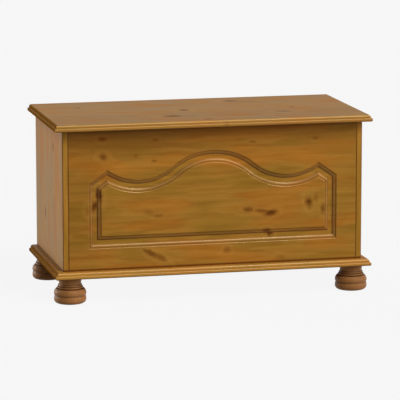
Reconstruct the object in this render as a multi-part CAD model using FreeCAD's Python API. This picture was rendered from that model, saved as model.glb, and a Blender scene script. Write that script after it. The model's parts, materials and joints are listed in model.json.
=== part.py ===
import FreeCAD
import Part
import math
import os

# Pine blanket chest on four turned bun feet, with a moulded lid hinged at the back.
#
# Frame: X across the chest, -Y to the front, +Z up, millimetres.
# The origin is on the floor, in the middle of the overall width and depth.
#
# The carcass is a moulded base board, two side panels, a front board between them that
# carries a routed arched groove, and a back made of two rails with a thin panel in grooves.
# Dowels and cam fittings join the boards, and screws from below hold them to the base.
# The lid turns on two butt hinges. A folding stay on the right side stops it when a lug on
# the lower arm meets the edge of the upper arm.

# ---------------------------------------------------------------- driving dimensions
WIDTH = 830.0                 # lid and base board, end to end
DEPTH = 404.0                 # lid and base board, front to back
FOOT_HEIGHT = 66.0
BODY_HEIGHT = 360.0           # side panels and front board
BOARD_T = 18.0                # lid and base board
PANEL_T = 15.0                # side panels and front board
OVERHANG = 21.5               # lid and base beyond the carcass, at the front and both ends
CLEARANCE = 0.1               # round a pin, dowel or screw in its hole
LEAF_GAP = 0.3                # between plates that pass each other
OVERRUN = 1.0                 # how far a cut runs on outside the piece it is made in

# moulded edge of the lid and base board, from the underside up
EDGE_UNDER_R = 3.5            # rounding of the lower arris
EDGE_NOSE_R = 3.4             # rounding from the nose up to the ledge
EDGE_LEDGE = 0.8              # flat ledge behind the nose
EDGE_RISER = 1.9              # upright step from the ledge to the quarter round
EDGE_OVOLO_R = 6.5            # quarter round that runs out into the top

# side panels and front board
SIDE_OUTER_ROUND = 3.0        # front arris outside
SIDE_INNER_ROUND = 1.5        # front arris beside the front board
FRONT_END_EASE = 1.0          # small chamfer on the front board's upright ends

# routed groove on the front board; places are those of its centre line
GROOVE_HALF_WIDTH = 17.0
GROOVE_LIP = 2.4              # depth and width of the rounded lip
GROOVE_LIP_BULGE = 0.5
GROOVE_LIP_FLAT = 1.5         # flat between the lip and the ovolo
GROOVE_OVOLO_BULGE = 1.0
GROOVE_FLOOR_HALF = 5.5
GROOVE_DEPTH = 6.6
GROOVE_SIDE_MARGIN = 69.0     # from the front board's end
GROOVE_BOTTOM_MARGIN = 71.5   # from its lower edge
GROOVE_TOP_MARGIN = 77.0      # from its upper edge to the crown
GROOVE_DIP_DROP = 70.0        # from the crown down to each dip
GROOVE_CROWN_R = 154.5
GROOVE_DIP_R = 150.5
GROOVE_CHAMFER_RUN = 32.5     # from each peak out to the shoulder
GROOVE_CHAMFER_DROP = 22.8

# back
RAIL_T = 18.0
TOP_RAIL_HEIGHT = 70.0
BOTTOM_RAIL_HEIGHT = 45.0
BACK_PANEL_T = 4.0
BACK_PANEL_SETBACK = 6.0      # from the rails' back face
GROOVE_IN_WOOD = 6.0          # depth of the grooves that hold the back panel
PANEL_PLAY = 0.2              # back panel in its grooves, each side

# bun feet, from the sole up
FOOT_INSET = 43.0             # from the base board's edges to a foot's axis
FOOT_R = 41.4
FOOT_SOLE_R = 31.0
ROLL_TOP_Z = 19.0             # top of the low roll
ROLL_TOP_R = 40.0
WAIST_Z = 20.6                # turned line between the roll and the bun
WAIST_R = 39.2
BUN_WIDEST_Z = 26.0
BUN_TOP_Z = 38.4
BUN_TOP_R = 35.2
BEAD_TOP_Z = 43.6
BEAD_R = 33.3
BEAD_ROOT_R = 31.0
RING_LOW_Z = 44.4
RING_TOP_Z = 48.4
RING_R = 30.9
RING_ROOT_R = 29.8
NECK_Z = 52.5                 # where the neck is thinnest
NECK_R = 28.4
NECK_LOW_R = 28.9             # just above the ring
COLLAR_R = 31.8
COLLAR_HEIGHT = 2.5
FOOT_BOLT_R = 4.0
FOOT_BOLT_IN_FOOT = 32.0
FOOT_BOLT_IN_BASE = 14.0
FOOT_BOLT_POINT_R = 3.25      # both ends are bevelled down to this
FOOT_BOLT_BEVEL = 1.5         # and over this length
INSERT_R = 5.5                # threaded sleeve round the bolt, in the base board
INSERT_LENGTH = 13.0

# lid battens
BATTEN_INSET = 200.0          # from the lid's ends to a batten's middle
BATTEN_WIDTH = 40.0
BATTEN_T = 18.0
BATTEN_LENGTH = 300.0
BATTEN_ROUND = 4.0
BATTEN_SCREW_PITCH = 120.0

# butt hinges
HINGE_INSET = 108.5           # from the side panels to a hinge's middle
HINGE_LENGTH = 60.0
HINGE_KNUCKLES = 5
HINGE_LEAF_WIDTH = 14.0
HINGE_LEAF_T = 1.5
HINGE_KNUCKLE_R = 3.25
HINGE_PIN_R = 1.5
HINGE_PIN_PLAY = 0.08         # between pin and knuckle, all round
HINGE_BACK_GAP = 0.25         # knuckle behind the boards' back faces
KNUCKLE_END_GAP = 0.2
HINGE_SCREW_PITCH = 22.0

# folding stay, on the right side
STAY_T = 2.0
STAY_WIDTH = 13.0
STAY_PLATE_T = 1.5
STAY_PIVOT_DROP = 12.0        # lid pivot below the lid
STAY_LID_REACH = 120.0        # lid pivot in front of the hinge axis
STAY_SIDE_REACH = 36.0        # side pivot in front of the hinge axis
STAY_SIDE_DROP = 88.0         # side pivot below the hinge axis
STAY_SCREW_PITCH = 15.0
STAY_FOOT_WIDTH = 20.0        # lid bracket's screw plate, across the chest
STAY_FOOT_LENGTH = 44.0
STAY_OPEN_ANGLE = 95.0        # where the lug stops the lid
LUG_R = 2.0
LUG_RIM = 2.5                 # metal round the lug
LUG_ALONG = 8.0               # from the elbow, measured along the upper arm when open
RIVET_R = 2.5
RIVET_HEAD_R = 4.6
RIVET_HEAD_T = 1.3
RIVET_CROWN_R = 2.76          # flat top of the rivet's head
RIVET_RIM_T = 0.39            # thickness of the head at its rim

# cam fittings and dowels
CAM_R = 7.5
CAM_T = 11.5
CAM_REACH = 24.0              # from the board's end to the cam's centre
CAM_SLOT_LENGTH = 10.5
CAM_SLOT_WIDTH = 2.0
CAM_SLOT_DEPTH = 1.5
CAM_BOLT_R = 2.6
CAM_BOLT_HEAD_R = 3.4
CAM_BOLT_IN_SIDE = 10.5
CAM_BOLT_HEAD_T = 2.0
CAM_BOLT_NECK_R = 1.95
CAM_BOLT_NECK_END = 7.0       # from the head's face to the end of the neck
CAM_BOLT_BEVEL = 1.0
CAM_HEAD_ROOM = 1.0           # in the cam's hollow, past the bolt's head
DOWEL_R = 4.0
DOWEL_IN_SIDE = 10.0
DOWEL_IN_END = 20.0
DOWEL_END_CHAMFER = 0.8
CORNER_CAM_INSET = 60.0       # from the front board's upper and lower edges
CORNER_DOWEL_INSET = 100.0
RAIL_FITTING_PITCH = 22.0     # between a rail's cam and its dowel

# screws: shank radius, head radius, countersink height, length
BASE_SCREW = (2.2, 4.6, 3.0, 45.0)
BATTEN_SCREW = (1.8, 3.6, 2.4, 30.0)
HINGE_SCREW = (1.4, 2.7, 1.4, 14.0)
STAY_SCREW = (1.6, 3.1, 1.4, 12.0)
SCREW_TIP = 3.0
RECESS_WIDTH = 0.9
RECESS_DEPTH = 1.1
BASE_SCREW_FROM_FOOT = 75.0   # from a foot's axis to the nearest base screw
BASE_DOWEL_FROM_SCREW = 30.0
LONG_SCREW_INSET = 228.5      # from the side panels to the screws under front board and rail

# ---------------------------------------------------------------- places worked out
AXIS_OUT = HINGE_BACK_GAP + HINGE_KNUCKLE_R           # hinge axis behind the back faces
STANDOUT = AXIS_OUT + HINGE_KNUCKLE_R                 # hinge knuckles behind the back faces
FRONT_Y = -(DEPTH + STANDOUT) / 2                     # nose of the lid and base board
BACK_Y = FRONT_Y + DEPTH                              # back face of every board
BODY_FRONT_Y = FRONT_Y + OVERHANG
BODY_HALF = WIDTH / 2 - OVERHANG
INNER_HALF = BODY_HALF - PANEL_T
BASE_Z = FOOT_HEIGHT
BODY_Z = BASE_Z + BOARD_T
LID_Z = BODY_Z + BODY_HEIGHT
FRONT_MID_Y = BODY_FRONT_Y + PANEL_T / 2
FRONT_INNER_Y = BODY_FRONT_Y + PANEL_T
RAIL_Y = BACK_Y - RAIL_T
RAIL_MID_Y = BACK_Y - RAIL_T / 2
SIDE_MID_X = BODY_HALF - PANEL_T / 2
TOP_RAIL_Z = LID_Z - TOP_RAIL_HEIGHT
BOTTOM_RAIL_TOP = BODY_Z + BOTTOM_RAIL_HEIGHT
HINGE_AXIS_Y = BACK_Y + AXIS_OUT
FOOT_X = WIDTH / 2 - FOOT_INSET
FOOT_FRONT_Y = FRONT_Y + FOOT_INSET
FOOT_BACK_Y = BACK_Y - FOOT_INSET
EDGE_INSET = EDGE_NOSE_R + EDGE_LEDGE + EDGE_OVOLO_R  # width of the moulding on a board's top
HINGE_X = INNER_HALF - HINGE_INSET
BATTEN_X = WIDTH / 2 - BATTEN_INSET
LONG_SCREW_X = INNER_HALF - LONG_SCREW_INSET

UP = FreeCAD.Vector(0, 0, 1)
DOWN = FreeCAD.Vector(0, 0, -1)
RIGHT = FreeCAD.Vector(1, 0, 0)
LEFT = FreeCAD.Vector(-1, 0, 0)
BACK = FreeCAD.Vector(0, 1, 0)
FORWARD = FreeCAD.Vector(0, -1, 0)
MITRED = 1                    # how a sweep turns its sharp corners


def point(x, y, z):
    return FreeCAD.Vector(x, y, z)


# ---------------------------------------------------------------- plain shapes
def block(x, y, z):
    """A box from three (low, high) pairs."""
    return Part.makeBox(x[1] - x[0], y[1] - y[0], z[1] - z[0], point(x[0], y[0], z[0]))


def rod(start, direction, radius, length):
    return Part.makeCylinder(radius, length, start, direction)


def line(a, b):
    return Part.LineSegment(a, b).toShape()


def arc(a, middle, b):
    return Part.Arc(a, middle, b).toShape()


def quarter(a, b, centre):
    """A quarter circle from a to b about centre."""
    return arc(a, centre + (a - centre + b - centre) * math.sqrt(0.5), b)


def face(edges):
    return Part.Face(Part.Wire(Part.__sortEdges__(edges)))


def turned(outline, start, direction):
    """A solid turned round the line from start along direction.
    outline is a list of (radius, distance) corners, closed along the axis."""
    across = RIGHT if abs(direction.x) < 0.5 else UP
    corners = [start + direction * along + across * radius for radius, along in outline]
    edges = [line(a, b) for a, b in zip(corners, corners[1:] + corners[:1])]
    return face(edges).revolve(start, direction, 360)


def rounded(shape, radius, keep):
    """Rounds the edges of shape whose middle and direction satisfy keep."""
    chosen = []
    for edge in shape.Edges:
        a, b = edge.Vertexes[0].Point, edge.Vertexes[-1].Point
        if keep((a + b) * 0.5, b - a):
            chosen.append(edge)
    return shape.makeFillet(radius, chosen)


# ---------------------------------------------------------------- moulded boards
def moulded_nose(place):
    """The edges of the moulded nose, from the underside to the top.
    place(u, v) gives the point u inside the nose and v above the underside."""
    under, nose = EDGE_UNDER_R, EDGE_NOSE_R
    riser = nose + EDGE_LEDGE
    round_z = BOARD_T - EDGE_OVOLO_R
    ledge_z = round_z - EDGE_RISER
    return [
        quarter(place(under, 0), place(0, under), place(under, under)),
        line(place(0, under), place(0, ledge_z - nose)),
        quarter(place(0, ledge_z - nose), place(nose, ledge_z), place(nose, ledge_z - nose)),
        line(place(nose, ledge_z), place(riser, ledge_z)),
        line(place(riser, ledge_z), place(riser, round_z)),
        quarter(place(riser, round_z), place(EDGE_INSET, BOARD_T), place(EDGE_INSET, round_z)),
    ]


def moulded_board(z):
    """A board moulded along the front and both ends, mitred at the front corners."""
    inset = EDGE_INSET
    low = EDGE_UNDER_R
    half = WIDTH / 2
    top = z + BOARD_T

    along_front = moulded_nose(lambda u, v: point(-half, FRONT_Y + u, z + v)) + [
        line(point(-half, FRONT_Y + inset, top), point(-half, BACK_Y, top)),
        line(point(-half, BACK_Y, top), point(-half, BACK_Y, z)),
        line(point(-half, BACK_Y, z), point(-half, FRONT_Y + low, z)),
    ]
    across_ends = (
        moulded_nose(lambda u, v: point(u - half, FRONT_Y, z + v))
        + moulded_nose(lambda u, v: point(half - u, FRONT_Y, z + v))
        + [
            line(point(inset - half, FRONT_Y, top), point(half - inset, FRONT_Y, top)),
            line(point(low - half, FRONT_Y, z), point(half - low, FRONT_Y, z)),
        ]
    )
    front_bar = face(along_front).extrude(RIGHT * WIDTH)
    ends_bar = face(across_ends).extrude(BACK * DEPTH)
    return front_bar.common(ends_bar)


# ---------------------------------------------------------------- fasteners
def screw(size, head, direction):
    """A countersunk wood screw. head is the middle of its flat head face."""
    shank_r, head_r, sink, length = size
    outline = [(0, 0), (head_r, 0), (shank_r, sink), (shank_r, length - SCREW_TIP), (0, length)]
    body = turned(outline, head, direction)
    across = RIGHT if abs(direction.x) < 0.5 else UP
    other = direction.cross(across)
    for bar, side in ((across, other), (other, across)):
        corner = head - bar * shank_r - side * (RECESS_WIDTH / 2)
        slot = face([
            line(corner, corner + bar * 2 * shank_r),
            line(corner + bar * 2 * shank_r, corner + bar * 2 * shank_r + side * RECESS_WIDTH),
            line(corner + bar * 2 * shank_r + side * RECESS_WIDTH, corner + side * RECESS_WIDTH),
            line(corner + side * RECESS_WIDTH, corner),
        ]).extrude(direction * RECESS_DEPTH)
        body = body.cut(slot)
    return body


def screw_hole(size, head, direction):
    """The countersunk hole that a screw of this size sits in."""
    shank_r, head_r, sink, length = size
    outline = [
        (0, 0),
        (head_r + CLEARANCE, 0),
        (shank_r + CLEARANCE, sink),
        (shank_r + CLEARANCE, length - SCREW_TIP),
        (0, length + CLEARANCE),
    ]
    return turned(outline, head, direction)


def dowel(start, direction, length):
    """A hardwood dowel with eased ends."""
    ease = DOWEL_END_CHAMFER
    outline = [
        (0, 0),
        (DOWEL_R - ease, 0),
        (DOWEL_R, ease),
        (DOWEL_R, length - ease),
        (DOWEL_R - ease, length),
        (0, length),
    ]
    return turned(outline, start, direction)


def dowel_hole(start, direction, length):
    spare = CLEARANCE
    return rod(start - direction * spare, direction, DOWEL_R + spare, length + 2 * spare)


class EndJoint:
    """One cam fitting or dowel between a side panel and the end of a board that meets it.
    side is +1 at the right end and -1 at the left, y and z are the fitting's centre line."""

    def __init__(self, side, y, z):
        self.outward = RIGHT * side
        self.seat = point(side * INNER_HALF, y, z)

    def dowel(self):
        start = self.seat - self.outward * DOWEL_IN_END
        return dowel(start, self.outward, DOWEL_IN_END + DOWEL_IN_SIDE)

    def dowel_hole(self):
        start = self.seat - self.outward * DOWEL_IN_END
        return dowel_hole(start, self.outward, DOWEL_IN_END + DOWEL_IN_SIDE)

    def cam_bolt(self):
        """A bolt screwed into the side panel, with its head inside the cam."""
        head_end, neck_end = CAM_BOLT_HEAD_T - CAM_REACH, CAM_BOLT_NECK_END - CAM_REACH
        bevel = CAM_BOLT_BEVEL
        outline = [
            (0, -CAM_REACH),
            (CAM_BOLT_HEAD_R, -CAM_REACH),
            (CAM_BOLT_HEAD_R, head_end),
            (CAM_BOLT_NECK_R, head_end + bevel),
            (CAM_BOLT_NECK_R, neck_end),
            (CAM_BOLT_R, neck_end + bevel),
            (CAM_BOLT_R, CAM_BOLT_IN_SIDE - bevel),
            (CAM_BOLT_R - bevel, CAM_BOLT_IN_SIDE),
            (0, CAM_BOLT_IN_SIDE),
        ]
        return turned(outline, self.seat, self.outward)

    def bolt_bore(self):
        """The bore in the board's end that the bolt runs in."""
        start = self.seat - self.outward * (CAM_REACH + CLEARANCE)
        return rod(start, self.outward, CAM_BOLT_HEAD_R + CLEARANCE, CAM_REACH + CLEARANCE)

    def bolt_hole(self):
        """The hole in the side panel that the bolt is screwed into."""
        return rod(self.seat, self.outward, CAM_BOLT_R + CLEARANCE, CAM_BOLT_IN_SIDE + CLEARANCE)

    def cam_bore(self, inner_y, bored):
        """The round pocket for the cam, bored from the board's inner face at inner_y."""
        mouth = point(self.seat.x, inner_y, self.seat.z) - self.outward * CAM_REACH
        return rod(mouth, bored, CAM_R + CLEARANCE, CAM_T + CLEARANCE)

    def cam(self, inner_y, bored):
        """The cam: a disc with a hollow for the bolt's head and a slot for the driver."""
        mouth = point(self.seat.x, inner_y, self.seat.z) - self.outward * CAM_REACH
        disc = rod(mouth, bored, CAM_R, CAM_T)
        hollow = rod(self.seat - self.outward * (CAM_REACH + CAM_HEAD_ROOM), self.outward,
                     CAM_BOLT_HEAD_R + CLEARANCE, CAM_R + 2 * CAM_HEAD_ROOM)
        depth = sorted((inner_y, inner_y + bored.y * CAM_SLOT_DEPTH))
        slot = block((mouth.x - CAM_SLOT_LENGTH / 2, mouth.x + CAM_SLOT_LENGTH / 2),
                     depth,
                     (mouth.z - CAM_SLOT_WIDTH / 2, mouth.z + CAM_SLOT_WIDTH / 2))
        return disc.cut(hollow).cut(slot)


def joints_at(y, heights):
    return [EndJoint(side, y, z) for side in (-1, 1) for z in heights]


FRONT_CAMS = joints_at(FRONT_MID_Y, (BODY_Z + CORNER_CAM_INSET, LID_Z - CORNER_CAM_INSET))
FRONT_DOWELS = joints_at(FRONT_MID_Y, (BODY_Z + CORNER_DOWEL_INSET, LID_Z - CORNER_DOWEL_INSET))
TOP_RAIL_MID_Z = TOP_RAIL_Z + TOP_RAIL_HEIGHT / 2
BOTTOM_RAIL_MID_Z = BODY_Z + BOTTOM_RAIL_HEIGHT / 2
TOP_RAIL_CAMS = joints_at(RAIL_MID_Y, (TOP_RAIL_MID_Z + RAIL_FITTING_PITCH / 2,))
TOP_RAIL_DOWELS = joints_at(RAIL_MID_Y, (TOP_RAIL_MID_Z - RAIL_FITTING_PITCH / 2,))
BOTTOM_RAIL_CAMS = joints_at(RAIL_MID_Y, (BOTTOM_RAIL_MID_Z - RAIL_FITTING_PITCH / 2,))
BOTTOM_RAIL_DOWELS = joints_at(RAIL_MID_Y, (BOTTOM_RAIL_MID_Z + RAIL_FITTING_PITCH / 2,))
ALL_CAMS = FRONT_CAMS + TOP_RAIL_CAMS + BOTTOM_RAIL_CAMS
ALL_DOWELS = FRONT_DOWELS + TOP_RAIL_DOWELS + BOTTOM_RAIL_DOWELS

SIDE_BASE_YS = (FOOT_FRONT_Y + BASE_SCREW_FROM_FOOT, FOOT_BACK_Y - BASE_SCREW_FROM_FOOT)
BASE_SCREW_HEADS = (
    [point(side * SIDE_MID_X, y, BASE_Z) for side in (-1, 1) for y in SIDE_BASE_YS]
    + [point(x, FRONT_MID_Y, BASE_Z) for x in (-LONG_SCREW_X, LONG_SCREW_X)]
    + [point(x, RAIL_MID_Y, BASE_Z) for x in (-LONG_SCREW_X, LONG_SCREW_X)]
)
BASE_DOWEL_STARTS = (
    [point(side * SIDE_MID_X, y + step, BODY_Z - DOWEL_IN_SIDE)
     for side in (-1, 1)
     for y, step in zip(SIDE_BASE_YS, (BASE_DOWEL_FROM_SCREW, -BASE_DOWEL_FROM_SCREW))]
    + [point(side * (LONG_SCREW_X + BASE_DOWEL_FROM_SCREW), FRONT_MID_Y,
             BODY_Z - DOWEL_IN_SIDE) for side in (-1, 1)]
)
BASE_DOWEL_LENGTH = DOWEL_IN_SIDE + DOWEL_IN_END
FOOT_CENTRES = {
    "front_left": point(-FOOT_X, FOOT_FRONT_Y, 0),
    "front_right": point(FOOT_X, FOOT_FRONT_Y, 0),
    "back_left": point(-FOOT_X, FOOT_BACK_Y, 0),
    "back_right": point(FOOT_X, FOOT_BACK_Y, 0),
}


def cut_all(shape, tools):
    for tool in tools:
        shape = shape.cut(tool)
    return shape


def base_fixing_holes():
    screws = [screw_hole(BASE_SCREW, head, UP) for head in BASE_SCREW_HEADS]
    dowels = [dowel_hole(start, UP, BASE_DOWEL_LENGTH) for start in BASE_DOWEL_STARTS]
    return screws + dowels


# ---------------------------------------------------------------- carcass
def base_board():
    inserts = [rod(centre + UP * BASE_Z, UP, INSERT_R + CLEARANCE, FOOT_BOLT_IN_BASE + CLEARANCE)
               for centre in FOOT_CENTRES.values()]
    return cut_all(moulded_board(BASE_Z), base_fixing_holes() + inserts)


def side_panel(side):
    """A side panel standing on the base board, with its front arrises rounded."""
    outer, inner = side * BODY_HALF, side * INNER_HALF
    panel = block(sorted((outer, inner)), (BODY_FRONT_Y, BACK_Y), (BODY_Z, LID_Z))
    for x, radius in ((outer, SIDE_OUTER_ROUND), (inner, SIDE_INNER_ROUND)):
        panel = rounded(panel, radius, lambda middle, run, x=x: (
            abs(run.z) > 1 and abs(middle.x - x) < 0.01 and abs(middle.y - BODY_FRONT_Y) < 0.01))
    slot = block(
        sorted((inner, inner + side * GROOVE_IN_WOOD)),
        (BACK_Y - BACK_PANEL_SETBACK - BACK_PANEL_T - PANEL_PLAY,
         BACK_Y - BACK_PANEL_SETBACK + PANEL_PLAY),
        (BOTTOM_RAIL_TOP - GROOVE_IN_WOOD, TOP_RAIL_Z + GROOVE_IN_WOOD),
    )
    here = [joint for joint in ALL_CAMS + ALL_DOWELS if joint.outward.x * side > 0]
    fittings = [j.bolt_hole() if j in ALL_CAMS else j.dowel_hole() for j in here]
    below = [hole for hole in base_fixing_holes() if hole.BoundBox.Center.x * side > INNER_HALF]
    stay = stay_side_screw_holes() if side > 0 else []
    return cut_all(panel, [slot] + fittings + below + stay)


def bulged(place, a, b, bulge):
    """An arc from a to b that swells by bulge into the cut. Corners are (offset, depth)."""
    run, drop = b[0] - a[0], b[1] - a[1]
    chord = math.hypot(run, drop)
    middle = ((a[0] + b[0]) / 2 - drop / chord * bulge, (a[1] + b[1]) / 2 + run / chord * bulge)
    return arc(place(a), place(middle), place(b))


def groove_flank(place):
    """The edges of one flank of the groove, from above the board's face to its floor.
    place(corner) gives the point for an (offset, depth) corner."""
    lip_end = GROOVE_HALF_WIDTH - GROOVE_LIP
    flat_end = lip_end - GROOVE_LIP_FLAT
    return [
        line(place((GROOVE_HALF_WIDTH, -OVERRUN)), place((GROOVE_HALF_WIDTH, 0))),
        bulged(place, (GROOVE_HALF_WIDTH, 0), (lip_end, GROOVE_LIP), GROOVE_LIP_BULGE),
        line(place((lip_end, GROOVE_LIP)), place((flat_end, GROOVE_LIP))),
        bulged(place, (flat_end, GROOVE_LIP), (GROOVE_FLOOR_HALF, GROOVE_DEPTH),
               GROOVE_OVOLO_BULGE),
    ]


def groove_section(here, across):
    """The groove's full cross-section at here, a point on the board's face."""
    def right(corner):
        return here + across * corner[0] + BACK * corner[1]

    def left(corner):
        return here - across * corner[0] + BACK * corner[1]

    floor, lip = (GROOVE_FLOOR_HALF, GROOVE_DEPTH), (GROOVE_HALF_WIDTH, -OVERRUN)
    edges = groove_flank(right) + groove_flank(left)
    return face(edges + [line(left(floor), right(floor)), line(left(lip), right(lip))])


def groove_path():
    """The groove's centre line on the board's face, from the middle of the bottom run round
    by the right side: straight sides, chamfered shoulders, two dips and the crown."""
    side_x = INNER_HALF - GROOVE_SIDE_MARGIN
    bottom_z = BODY_Z + GROOVE_BOTTOM_MARGIN
    crown_top = LID_Z - GROOVE_TOP_MARGIN
    crown_z = crown_top - GROOVE_CROWN_R
    reach = GROOVE_CROWN_R + GROOVE_DIP_R
    rise = reach - GROOVE_DIP_DROP
    dip_x = math.sqrt(reach ** 2 - rise ** 2)
    dip_z = crown_z + rise
    dip_low = dip_z - GROOVE_DIP_R
    turn_x = dip_x * GROOVE_CROWN_R / reach
    turn_z = crown_z + rise * GROOVE_CROWN_R / reach
    peak_x = side_x - GROOVE_CHAMFER_RUN
    peak_z = dip_z - math.sqrt(GROOVE_DIP_R ** 2 - (peak_x - dip_x) ** 2)
    shoulder_z = peak_z - GROOVE_CHAMFER_DROP

    def spot(x, z):
        return point(x, BODY_FRONT_Y, z)

    return [
        line(spot(0, bottom_z), spot(side_x, bottom_z)),
        line(spot(side_x, bottom_z), spot(side_x, shoulder_z)),
        line(spot(side_x, shoulder_z), spot(peak_x, peak_z)),
        arc(spot(peak_x, peak_z), spot(dip_x, dip_low), spot(turn_x, turn_z)),
        arc(spot(turn_x, turn_z), spot(0, crown_top), spot(-turn_x, turn_z)),
        arc(spot(-turn_x, turn_z), spot(-dip_x, dip_low), spot(-peak_x, peak_z)),
        line(spot(-peak_x, peak_z), spot(-side_x, shoulder_z)),
        line(spot(-side_x, shoulder_z), spot(-side_x, bottom_z)),
        line(spot(-side_x, bottom_z), spot(0, bottom_z)),
    ]


def groove_cutter():
    """The groove's section carried round its path, with every corner mitred."""
    path = Part.Wire(groove_path())
    start = path.Edges[0].Vertexes[0].Point
    return path.makePipeShell([groove_section(start, UP).OuterWire], True, False, MITRED)


def front_panel():
    inner_y = FRONT_INNER_Y
    panel = block((-INNER_HALF, INNER_HALF), (BODY_FRONT_Y, inner_y), (BODY_Z, LID_Z))
    ends = [edge for edge in panel.Edges
            if abs(edge.CenterOfMass.y - BODY_FRONT_Y) < 0.01
            and abs(abs(edge.CenterOfMass.x) - INNER_HALF) < 0.01]
    panel = panel.makeChamfer(FRONT_END_EASE, ends)
    panel = panel.cut(groove_cutter())
    fittings = [joint.dowel_hole() for joint in FRONT_DOWELS]
    for joint in FRONT_CAMS:
        fittings += [joint.bolt_bore(), joint.cam_bore(inner_y, FORWARD)]
    below = [hole for hole in base_fixing_holes()
             if abs(hole.BoundBox.Center.y - FRONT_MID_Y) < PANEL_T / 2
             and abs(hole.BoundBox.Center.x) < INNER_HALF]
    return cut_all(panel, fittings + below)


def back_slot(low, high):
    """The groove that a rail carries for the back panel."""
    return block(
        (-INNER_HALF, INNER_HALF),
        (BACK_Y - BACK_PANEL_SETBACK - BACK_PANEL_T - PANEL_PLAY,
         BACK_Y - BACK_PANEL_SETBACK + PANEL_PLAY),
        (low, high),
    )


def rail(low, high, slot, cams, dowels, others):
    board = block((-INNER_HALF, INNER_HALF), (RAIL_Y, BACK_Y), (low, high))
    tools = [slot] + [joint.dowel_hole() for joint in dowels] + others
    for joint in cams:
        tools += [joint.bolt_bore(), joint.cam_bore(RAIL_Y, BACK)]
    return cut_all(board, tools)


def back_top_rail():
    slot = back_slot(TOP_RAIL_Z, TOP_RAIL_Z + GROOVE_IN_WOOD)
    mortises = [leaf_mortise(x, LID_Z, -1) for x in (-HINGE_X, HINGE_X)]
    screws = [screw_hole(HINGE_SCREW, head, DOWN) for head in hinge_screw_heads(-1)]
    return rail(TOP_RAIL_Z, LID_Z, slot, TOP_RAIL_CAMS, TOP_RAIL_DOWELS, mortises + screws)


def back_bottom_rail():
    slot = back_slot(BOTTOM_RAIL_TOP - GROOVE_IN_WOOD, BOTTOM_RAIL_TOP)
    below = [hole for hole in base_fixing_holes()
             if abs(hole.BoundBox.Center.y - RAIL_MID_Y) < RAIL_T / 2
             and abs(hole.BoundBox.Center.x) < INNER_HALF]
    return rail(BODY_Z, BOTTOM_RAIL_TOP, slot, BOTTOM_RAIL_CAMS, BOTTOM_RAIL_DOWELS, below)


def back_panel():
    tongue = GROOVE_IN_WOOD - PANEL_PLAY
    high = BACK_Y - BACK_PANEL_SETBACK
    return block(
        (-INNER_HALF - tongue, INNER_HALF + tongue),
        (high - BACK_PANEL_T, high),
        (BOTTOM_RAIL_TOP - tongue, TOP_RAIL_Z + tongue),
    )


# ---------------------------------------------------------------- feet
def arc_middle(widest, end):
    """The middle of an arc that is upright at widest and stops at end, as (radius, height)."""
    fall, rise = widest[0] - end[0], end[1] - widest[1]
    radius = (fall ** 2 + rise ** 2) / (2 * fall)
    turn = math.asin(rise / radius) / 2
    return widest[0] - radius * (1 - math.cos(turn)), widest[1] + radius * math.sin(turn)


def bun_foot(centre):
    """A turned bun: sole, low roll, turned line, bun, bead, ring, hollow neck and collar."""
    def run(*corners):
        """A straight line through two (radius, height) corners, or an arc through three."""
        points = [centre + RIGHT * radius + UP * height for radius, height in corners]
        return line(*points) if len(points) == 2 else arc(*points)

    roll_low = (FOOT_R, FOOT_R - FOOT_SOLE_R)
    roll_top, waist = (ROLL_TOP_R, ROLL_TOP_Z), (WAIST_R, WAIST_Z)
    bun_widest, bun_top = (FOOT_R, BUN_WIDEST_Z), (BUN_TOP_R, BUN_TOP_Z)
    bead_low, bead_top = (BEAD_ROOT_R, BUN_TOP_Z), (BEAD_ROOT_R, BEAD_TOP_Z)
    quirk_low, quirk_top = (RING_ROOT_R, BEAD_TOP_Z), (RING_ROOT_R, RING_LOW_Z)
    ring_top, neck_low = (RING_ROOT_R, RING_TOP_Z), (NECK_LOW_R, RING_TOP_Z)
    neck_high = (COLLAR_R, FOOT_HEIGHT - COLLAR_HEIGHT)
    outline = [
        run((0, 0), (FOOT_SOLE_R, 0)),
        run((FOOT_SOLE_R, 0), arc_middle(roll_low, (FOOT_SOLE_R, 0)), roll_low),
        run(roll_low, arc_middle(roll_low, roll_top), roll_top),
        run(roll_top, waist),
        run(waist, arc_middle(bun_widest, waist), bun_widest),
        run(bun_widest, arc_middle(bun_widest, bun_top), bun_top),
        run(bun_top, bead_low),
        run(bead_low, (BEAD_R, (BUN_TOP_Z + BEAD_TOP_Z) / 2), bead_top),
        run(bead_top, quirk_low),
        run(quirk_low, quirk_top),
        run(quirk_top, (RING_R, (RING_LOW_Z + RING_TOP_Z) / 2), ring_top),
        run(ring_top, neck_low),
        run(neck_low, (NECK_R, NECK_Z), neck_high),
        run(neck_high, (COLLAR_R, FOOT_HEIGHT)),
        run((COLLAR_R, FOOT_HEIGHT), (0, FOOT_HEIGHT)),
        run((0, FOOT_HEIGHT), (0, 0)),
    ]
    foot = face(outline).revolve(centre, UP, 360)
    bolt = rod(centre + UP * (FOOT_HEIGHT - FOOT_BOLT_IN_FOOT - CLEARANCE), UP,
               FOOT_BOLT_R + CLEARANCE, FOOT_BOLT_IN_FOOT + CLEARANCE)
    return foot.cut(bolt)


def foot_bolt(centre):
    """The headless bolt that draws a foot up against the base board."""
    length = FOOT_BOLT_IN_FOOT + FOOT_BOLT_IN_BASE
    bevel = FOOT_BOLT_BEVEL
    outline = [(0, 0), (FOOT_BOLT_POINT_R, 0), (FOOT_BOLT_R, bevel),
               (FOOT_BOLT_R, length - bevel), (FOOT_BOLT_POINT_R, length), (0, length)]
    return turned(outline, centre + UP * (FOOT_HEIGHT - FOOT_BOLT_IN_FOOT), UP)


def foot_insert(centre):
    """The threaded sleeve in the base board that a foot's bolt is turned into."""
    seat = centre + UP * BASE_Z
    sleeve = rod(seat, UP, INSERT_R, INSERT_LENGTH)
    return sleeve.cut(rod(seat, UP, FOOT_BOLT_R + CLEARANCE, INSERT_LENGTH))


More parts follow.
